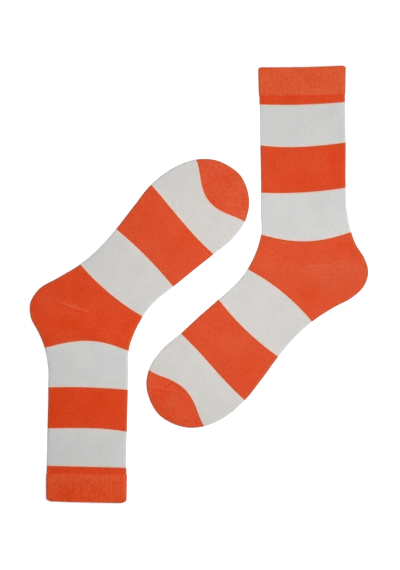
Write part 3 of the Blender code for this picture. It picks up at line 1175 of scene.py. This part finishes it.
@dataclass
class Sleeve:
    """The plain tube from under the welt to the toe, in one table of loops."""

    sock: Sock
    runs: tuple[tuple[str, KnitFinish], ...] = (
        ("top_band", JERSEY),
        ("leg_white_upper", PALE_JERSEY),
        ("leg_orange", JERSEY),
        ("leg_white_lower", PALE_JERSEY),
        ("heel", HEEL_JERSEY),
        ("foot_white_rear", PALE_JERSEY),
        ("foot_orange", JERSEY),
        ("foot_white_front", PALE_JERSEY),
    )
    stations: Array = field(init=False)  # fractional course of each row
    clean: Array = field(init=False)  # the places on the plain form
    points: Array = field(init=False)  # the places with the creases and grooves
    fold: Array = field(init=False)
    hollow: Array = field(init=False)
    tone: Array = field(init=False)

    def __post_init__(self) -> None:
        """Lay the loops, lift the creases and cut the grooves between wales."""
        tube, side = self.sock.tube, GAUGE.side
        self.stations = tube.rows(tube.starts["top_band"], tube.starts["toe"], GAUGE.row_pitch)
        loops = np.array([tube.loops(Ring(row, GAUGE.outside), side) for row in self.stations])
        self.clean = loops[..., :3]
        self.fold = loops[..., 6]
        self.hollow = grooves(loops.shape[1], GAUGE.columns)
        self.tone = tube.tone(loops[..., :2])
        upper = np.arange(loops.shape[1]) <= side
        self.points = loops[..., :3] - loops[..., 3:6] * (GAUGE.groove * self.hollow)[:, None]
        self.points[..., 2] += tube.lift(loops[..., :2], self.fold, upper)
        self.interlock()

    def row_of(self, course: float) -> int:
        """Find the row nearest to a course."""
        return int(np.abs(self.stations - course).argmin())

    def interlock(self) -> None:
        """Push the loops at each yarn change up or down their wale, as stitches interlock."""
        share = np.arange(self.points.shape[1]) % GAUGE.columns / GAUGE.columns
        wave = np.abs(share * 2 - 1) * 2 - 1
        for name in [run for run, _ in self.runs[1:]] + ["toe"]:
            row = self.row_of(self.sock.tube.starts[name])
            before, after = self.points[row - 1], self.points[min(row + 1, len(self.points) - 1)]
            self.points[row] += unit(after - before) * wave[:, None] * GAUGE.bite

    def cut(self, first: int, last: int, split: int) -> list[Laid]:
        """Cut a run out of the sleeve, in two tables where a gore line splits it.

        Args:
            first: the row where it starts.
            last: the row where it ends.
            split: the row of the gore line, or that of the end if it has none.

        Returns:
            The tables.
        """
        part, count, split = slice(first, last + 1), last - first, split - first
        points, fold, tone = self.points[part], self.fold[part], self.tone[part]
        reach, columns = reach_along(points), np.arange(points.shape[1])
        change = np.minimum(reach, reach[-1] - reach) if first else reach[-1] - reach
        tables = []
        for start, end, down in ((0, split, reach), (split, count, reach - reach[-1])):
            if end > start:
                whole = Laid.outer(points, columns, down, fold, change, self.hollow, tone)
                tables.append(whole.rows(start, end))
        return tables

    def build(self) -> None:
        """Build and dress every run of the sleeve."""
        tube, gore = self.sock.tube, self.sock.heel_gore
        courses = [tube.starts[name] for name, _ in self.runs] + [tube.starts["toe"]]
        for (name, finish), first, last in zip(self.runs, courses, courses[1:]):
            start, end = self.row_of(first), self.row_of(last)
            split = self.row_of(gore) if first < gore < last else end
            outer = self.cut(start, end, split)
            rows = tube.rows(first, last, GAUGE.lining_pitch)[::-1]
            lining = tube.lining([Ring(row, GAUGE.inside) for row in rows])
            lining = np.concatenate([self.points[[end]], lining, self.points[[start]]])
            inner = Laid.inner(lining, {0: outer[-1].marks_at(-1), -1: outer[0].marks_at(0)})
            width = length_of(self.clean[split if split < end else start])
            self.sock.lay_cloth(name, finish, outer, inner, width)


@dataclass
class Welt:
    """The turned, ribbed welt at the cuff, with a rounded rim and rounded corners."""

    sock: Sock
    sleeve: Sleeve
    ply: float = 1.7             # two plies of thinner cloth
    stand_out: float = 0.5       # past the leg, all round
    rib_height: float = 0.28
    rib_wales: int = 2
    rim_roll: float = 0.6        # how far the rim rounds out past the two skins
    corner_rows: int = 6
    rim_rows: int = 5
    row_pitch: float = 1.0
    lining_skip: int = 4         # rows outside to one inside

    def skin(self, share: float) -> Skin:
        """Work out the surface at a share of the wall's thickness, from the outside in."""
        radius, depth = GAUGE.fold_radius + self.stand_out, self.ply * share
        return Skin(depth - self.stand_out, radius - depth, radius)

    def rim(self, angle: float, face: Face) -> Ring:
        """Lay a course on the rim.

        Args:
            angle: how far round the rim it lies, from 0 where the rim leaves a side of the
                wall to a quarter turn on the very edge.
            face: that side of the wall.

        Returns:
            The course.
        """
        skin = self.skin((1 - face.value * math.cos(angle)) / 2)
        first, nudge = self.sock.tube.starts["welt"], -self.rim_roll * math.sin(angle)
        return Ring(first, skin, self.sock.corner, nudge)

    def build(self) -> None:
        """Build and dress the welt."""
        tube, side = self.sock.tube, GAUGE.side
        first, last = tube.starts["welt"], tube.starts["top_band"]
        depth = abs(tube.stations[last][1] - tube.stations[first][1])
        turns = np.linspace(0, math.pi / 2, self.corner_rows)
        downs = first + self.sock.corner * (1 - np.cos(turns)) / depth
        draws = self.sock.corner * (1 - np.sin(turns))
        body = np.linspace(downs[-1], last, round((1 - downs[-1]) * depth / self.row_pitch) + 1)
        angles = np.linspace(0, math.pi / 2, self.rim_rows)[:0:-1]
        outside, inside = self.skin(0.0), self.skin(1.0)
        rings = [self.rim(angle, Face.OUTER) for angle in angles]
        rings += [Ring(down, outside, draw) for down, draw in zip(downs, draws)]
        rings += [Ring(row, outside) for row in body[1:]]
        under = [Ring(row, inside) for row in body[: 0 : -self.lining_skip]]
        under += [Ring(down, inside, draw) for down, draw in zip(downs[::-1], draws[::-1])]
        under += [self.rim(angle, Face.INNER) for angle in angles[:0:-1]]
        loops = np.array([tube.loops(ring, side) for ring in rings])
        columns = np.arange(loops.shape[1])
        ribs = grooves(len(columns), self.rib_wales * GAUGE.columns)
        thick = 1 - 2 * np.array([ring.skin.inset - outside.inset for ring in rings]) / self.ply
        depths = self.rib_height * np.outer(thick, ribs)
        points = loops[..., :3] - loops[..., 3:6] * depths[..., None]
        points[..., 2] += tube.lift(loops[..., :2], loops[..., 6], columns <= side)
        points[:, -1] = points[:, 0]     # where the two layers' lifts would leave a slit
        reach = reach_along(points)
        # the cuff's rim counts as a fold, so it takes the folds' painted shade too
        fold = np.minimum(loops[..., 6] + self.stand_out, reach)
        change = reach[-1] - reach + Laid.FAR
        outer = Laid.outer(points, columns, reach, fold, change, ribs, tube.tone(loops[..., :2]))
        seat = self.sleeve.points[[0]]
        lining = np.concatenate([points[-1:], seat, tube.lining(under), points[:1]])
        inner = Laid.inner(lining, {0: outer.marks_at(-1), -1: outer.marks_at(0)})
        self.sock.lay_cloth("welt", RIB, [outer], inner, length_of(loops[-1]))


@dataclass
class ToePocket:
    """The toe, whose wales run round its end and finish on a gore line on each side."""

    sock: Sock
    sleeve: Sleeve
    rows: int = 30
    nearest: float = 0.08        # how near to the gore line a wale may come before it ends
    blend: float = 3.0           # distance over which the wales leave the first course
    tip_rings: tuple[float, ...] = (6.5, 3.2, 1.2, 0.4)  # their distance from the tip

    EDGE_SAMPLES = 401

    def quarter(self, layer: Layer, front: bool) -> Laid:
        """Lay the half of a layer on one side of its gore line.

        Args:
            layer: the layer.
            front: whether it is the half at the front fold or the one at the back fold.

        Returns:
            Its table, from the first course to the line from the tip to the gore's end, and
            from the fold to the gore line.
        """
        tube, radius = self.sock.tube, GAUGE.fold_radius
        start, clean = (
            self.from_fold(ring, layer, front)
            for ring in (self.sleeve.points[-1], self.sleeve.clean[-1])
        )
        shares = np.linspace(0, 1, self.rows + 1)
        where = np.linspace(tube.starts["toe"], tube.tip, self.EDGE_SAMPLES)
        where = where if front else 2 * tube.tip - where
        edge = along(np.column_stack([tube.outline(where), tube.outward(where)]), shares)
        seam = along(np.array([clean[-1, :2], *self.sock.toe_gore]), shares)
        arc = np.linspace(0, length_of(clean), GAUGE.half + 1)
        roll = np.minimum(arc / radius, math.pi / 2)
        flat_from = radius * math.pi / 2
        inwards = np.where(arc < flat_from, radius * (1 - np.cos(roll)), arc - flat_from + radius)
        spokes = np.linalg.norm(seam - edge[:, :2], axis=1)
        stretch = spokes[0] / inwards[-1] * (1 - shares) + shares
        share = inwards * (stretch / spokes)[:, None]
        ended = (1.0 - share) * spokes[:, None] < self.nearest
        share = np.where(ended, 1.0, share)
        flat = self.fill(edge[:, :2], seam, clean[:, :2], share[..., None], shares)
        fold = tube.edge(flat.reshape(-1, 2))[0].reshape(share.shape)
        fold[:, 0] = 0.0
        hollow = np.broadcast_to(grooves(GAUGE.half + 1, GAUGE.columns), fold.shape).copy()
        hollow[ended] = 1.0
        upright = np.broadcast_to(layer.value * np.sin(roll), fold.shape)[..., None]
        normals = np.concatenate([edge[:, None, 2:4] * np.cos(roll)[:, None], upright], axis=-1)
        points = np.concatenate([flat, radius + radius * upright], axis=-1)
        points[..., 2] += tube.lift(flat, fold, np.full(fold.shape, layer is Layer.UPPER))
        points -= normals * (GAUGE.groove * hollow)[..., None]
        leave = 1 - smooth_step(shares * length_of(seam) / self.blend)
        offset = [np.interp(share, share[0], column) for column in (start - points[0]).T]
        points += np.stack(offset, axis=-1) * leave[:, None, None]
        reach = reach_along(points)
        down = (reach[-1] - reach) if front else (reach - reach[-1])
        column = self.from_fold(np.arange(2 * GAUGE.side + 1), layer, front)
        return Laid.outer(points, column, down, fold, reach, hollow, tube.tone(flat))

    @staticmethod
    def from_fold(ring: Array, layer: Layer, front: bool) -> Array:
        """Take the part of a ring from a fold to the middle of a layer.

        Args:
            ring: numbers or places all round the sock.
            layer: the layer.
            front: whether it is the front fold or the back fold.

        Returns:
            That part, from the fold.
        """
        side, half = GAUGE.side, GAUGE.half
        if layer is Layer.UPPER:
            return ring[: half + 1] if front else ring[side : half - 1 : -1]
        return ring[: side + half - 1 : -1] if front else ring[side : side + half + 1]

    @staticmethod
    def fill(edge: Array, seam: Array, start: Array, share: Array, shares: Array) -> Array:
        """Fill the space between the fold, the gore line, the first course and the tip.

        Args:
            edge: the fold, row by row.
            seam: the gore line, row by row.
            start: the first course, from the fold to the gore line.
            share: how far each column of a row is from the fold to the gore line.
            shares: how far each row is from the first course to the tip.

        Returns:
            A point for each row and column.
        """
        ruled = edge[:, None] * (1 - share) + seam[:, None] * share
        course = along(start, share[..., 0])
        plain = start[0] * (1 - share) + start[-1] * share
        return ruled + (1 - shares[:, None, None]) * (course - plain)

    def build(self) -> None:
        """Build and dress the toe."""
        tube, sleeve, tip = self.sock.tube, self.sleeve, self.sock.tube.tip
        outer = [self.quarter(layer, front) for layer in Layer for front in (True, False)]
        last_span = np.linalg.norm(tube.stations[tip] - tube.stations[tip - 1])
        stations = [*tube.rows(tube.starts["toe"], tip - 1, GAUGE.lining_pitch)]
        stations += [tip - distance / last_span for distance in self.tip_rings]
        rings = tube.lining([Ring(station, GAUGE.inside) for station in stations])
        point = np.append(tube.outline(tip, GAUGE.ply), GAUGE.fold_radius)
        end = np.broadcast_to(point, (1, *rings.shape[1:]))
        lining = np.concatenate([sleeve.points[-1:], rings, end])
        carried = (sleeve.fold[-1], 0.0, sleeve.hollow, sleeve.tone[-1])
        inner = Laid.inner(lining, {0: dict(zip(Mark, carried))})
        self.sock.lay_cloth("toe", POCKET, outer, inner, length_of(sleeve.clean[-1]))


class Stitch(NamedTuple):
    """The stitches of a line."""

    finish: YarnFinish
    pitch: float
    length: float
    width: float
    rise: float
    slant: float                 # degrees between a stitch and the line
    level: float | None = None   # its height, where it doesn't lie on both layers


@dataclass
class StitchLine:
    """A line of raised stitches on both layers, in one piece."""

    name: str
    stitch: Stitch
    path: Line

    SINK = 0.15                  # how deep a stitch's middle lies in the cloth
    SHARP = 80.0                 # degrees
    SEGMENTS, RINGS = 8, 5

    def build(self, sock: Sock) -> None:
        """Build and dress the line.

        Args:
            sock: the sock that it is on.
        """
        line, stitch = np.array(self.path), self.stitch
        count = max(2, round(length_of(line) / stitch.pitch) + 1)
        places = along(line, np.linspace(0, 1, count))
        size = Matrix.Diagonal((stitch.length, stitch.width, stitch.rise, 1.0))
        work = bmesh.new()
        for layer in Layer if stitch.level is None else [Layer.UPPER]:
            for place, heading in zip(places, np.gradient(places, axis=0)):
                if stitch.level is None:
                    point = sock.tube.top(place, layer)
                    point[2] -= layer.value * self.SINK
                else:
                    point = np.array([*place, stitch.level])
                turn = math.atan2(heading[1], heading[0]) + math.radians(stitch.slant) * layer.value
                spin = Matrix.Rotation(turn, 4, "Z")
                bmesh.ops.create_uvsphere(
                    work, u_segments=self.SEGMENTS, v_segments=self.RINGS, radius=0.5,
                    matrix=Matrix.Translation(point) @ spin @ size,
                )
        piece = finished(f"{sock.name}_{self.name}", work, sock.place(), self.SHARP)
        sock.dress(piece, stitch.finish)


HEEL_GORE = Stitch(SEAM_YARN, pitch=1.9, length=1.3, width=0.50, rise=0.38, slant=30.0)
BOLD_HEEL_GORE = HEEL_GORE._replace(width=1.00, rise=0.50)
TOE_GORE = Stitch(SEAM_YARN, pitch=1.9, length=1.2, width=0.40, rise=0.30, slant=30.0)
LINKING = Stitch(SEAM_YARN, pitch=1.1, length=1.0, width=0.55, rise=0.45, slant=60.0)
THREAD = Stitch(SEAM_YARN, pitch=0.35, length=0.6, width=0.45, rise=0.45, slant=0.0, level=2.0)
# dark blobs of painted shade where the gore lines leave holes
HEEL_HOLE_SHADE = Stitch(PAINTED_HOLE_SHADE, pitch=4.2, length=1.3, width=1.00, rise=0.50, slant=20.0)
TOE_HOLE_SHADE = Stitch(PAINTED_HOLE_SHADE, pitch=60.0, length=1.8, width=1.30, rise=0.50, slant=60.0)

RIGHT_TOE_GORE = ((-123.6, -326.1), (-135.5, -343.0))
RIGHT = Sock(
    "right", FlatTube(RIGHT_COURSES, RIGHT_CREASES, RIGHT_PATCHES),
    cuff_x=103.0, cuff_y=218.3, turn=0.0, corner=1.7, heel_gore=9.25, toe_gore=RIGHT_TOE_GORE,
    fuzz={
        "welt": 0.095, "top_band": -0.02, "heel": 0.077, "foot_orange": 0.062, "toe": 0.048,
        "foot_white_rear": 0.31, "foot_white_front": 0.4,
    },
    lines=(
        StitchLine(
            "heel_gore_stitches", HEEL_GORE, ((-2.0, -202.0), (22.0, -198.5), (48.0, -194.0))
        ),
        StitchLine(
            "toe_linking", LINKING, ((-152.5, -320.5), (-130.7, -323.0), (-123.6, -326.1))
        ),
        StitchLine("toe_gore_stitches", TOE_GORE, RIGHT_TOE_GORE),
        StitchLine("heel_gore_holes", HEEL_HOLE_SHADE, ((30.7, -209.5), (28.0, -218.0))),
        StitchLine("toe_gore_holes", TOE_HOLE_SHADE, ((-123.0, -327.2), (-135.9, -344.0))),
    ),
)

LEFT_TOE_GORE = ((-126.7, -303.5), (-141.6, -319.8))
LEFT = Sock(
    "left", FlatTube(LEFT_COURSES, LEFT_CREASES, LEFT_PATCHES),
    cuff_x=-112.0, cuff_y=-218.7, turn=180.0, corner=3.5, heel_gore=9.25, toe_gore=LEFT_TOE_GORE,
    fuzz={
        "welt": 0.005, "top_band": -0.042, "leg_orange": -0.042, "heel": -0.011,
        "foot_orange": 0.052, "toe": 0.082, "foot_white_rear": 0.31, "foot_white_front": 0.4,
    },
    lines=(
        StitchLine(
            "heel_gore_stitches", BOLD_HEEL_GORE,
            ((24.0, -200.3), (18.3, -197.7), (12.3, -195.6), (7.0, -194.2), (-0.5, -191.7)),
        ),
        StitchLine(
            "toe_linking", LINKING, ((-158.9, -295.9), (-137.4, -300.5), (-126.7, -303.5))
        ),
        StitchLine("toe_gore_stitches", TOE_GORE, LEFT_TOE_GORE),
        StitchLine("heel_gore_holes", HEEL_HOLE_SHADE, ((10.3, -191.7), (6.3, -191.2), (-1.7, -189.2))),
        StitchLine("thread_end", THREAD, ((-157.9, -285.2), (-159.3, -284.9), (-160.4, -284.5))),
        StitchLine("toe_gore_holes", TOE_HOLE_SHADE, ((-127.5, -301.7), (-141.7, -319.9))),
    ),
)


# ---------------------------------------------------------------- the studio


class Lamp(NamedTuple):
    """A soft round lamp that shines on the middle of the floor."""

    name: str
    power: float                 # watts
    size: float                  # metres
    place: tuple[float, float, float]


@dataclass
class Studio:
    """The floor, the lights and the camera."""

    aim_x: float = 1.0           # millimetres
    aim_y: float = -0.7
    view_height: float = 570.0   # of the floor that the camera sees
    sensor: float = 36.0
    distance: float = 2.5        # metres
    floor_half: float = 20.0
    floor_gap: float = 0.0003
    world: float = 0.176         # strength of the light all round
    paper: PaperFinish = PaperFinish()
    lamps: tuple[Lamp, ...] = (
        Lamp("key", 3.12, 0.35, (0.03, 0.0, 0.62)),
        Lamp("side", 9.7, 0.80, (1.23, 0.0, 1.03)),
    )

    def build(self) -> None:
        """Make all of it."""
        self.build_camera()
        self.build_floor()
        self.build_world()
        for lamp in self.lamps:
            self.build_lamp(lamp)

    def build_camera(self) -> None:
        """Look straight down on the socks through a long lens."""
        data = bpy.data.cameras.new("camera")
        data.sensor_width = self.sensor
        data.lens = self.sensor * self.distance / (self.view_height * MILLIMETRE)
        height = self.distance + GAUGE.fold_radius * MILLIMETRE
        camera = placed("camera", data)
        camera.location = (self.aim_x * MILLIMETRE, self.aim_y * MILLIMETRE, height)
        bpy.context.scene.camera = camera

    def build_floor(self) -> None:
        """Lay plain pale paper just under the socks."""
        work = bmesh.new()
        bmesh.ops.create_grid(work, x_segments=1, y_segments=1, size=self.floor_half)
        bmesh.ops.translate(work, vec=(0.0, 0.0, -self.floor_gap), verts=work.verts)
        mesh = bpy.data.meshes.new(FLOOR)
        work.to_mesh(mesh)
        work.free()
        mesh.materials.append(self.paper.material())
        placed(FLOOR, mesh)

    def build_world(self) -> None:
        """Set a weak light all round, and white where the camera looks past the floor."""
        world = bpy.data.worlds.new("studio")
        nodes = Nodes(world, "Background")
        seen = nodes.node("LightPath").outputs["Is Camera Ray"]
        strength = nodes.lerp(seen, self.world, 1.0)
        nodes.feed(nodes.shader, {"Color": OPAQUE_WHITE, "Strength": strength})
        bpy.context.scene.world = world

    def build_lamp(self, lamp: Lamp) -> None:
        """Hang a lamp, which the camera doesn't see.

        Args:
            lamp: the lamp.
        """
        data = bpy.data.lights.new(lamp.name, "AREA")
        data.shape = "DISK"
        data.energy = lamp.power
        data.size = lamp.size
        light = placed(lamp.name, data)
        light.location = lamp.place
        light.rotation_euler = (-Vector(lamp.place)).to_track_quat("-Z", "Y").to_euler()
        light.visible_camera = False


def main() -> None:
    """Load the frame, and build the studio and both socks."""
    logging.basicConfig(level=logging.INFO, format="%(message)s")
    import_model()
    bpy.context.scene.view_settings.view_transform = "Standard"
    Studio().build()
    for sock in (RIGHT, LEFT):
        sock.build()


if __name__ == "__main__":
    main()
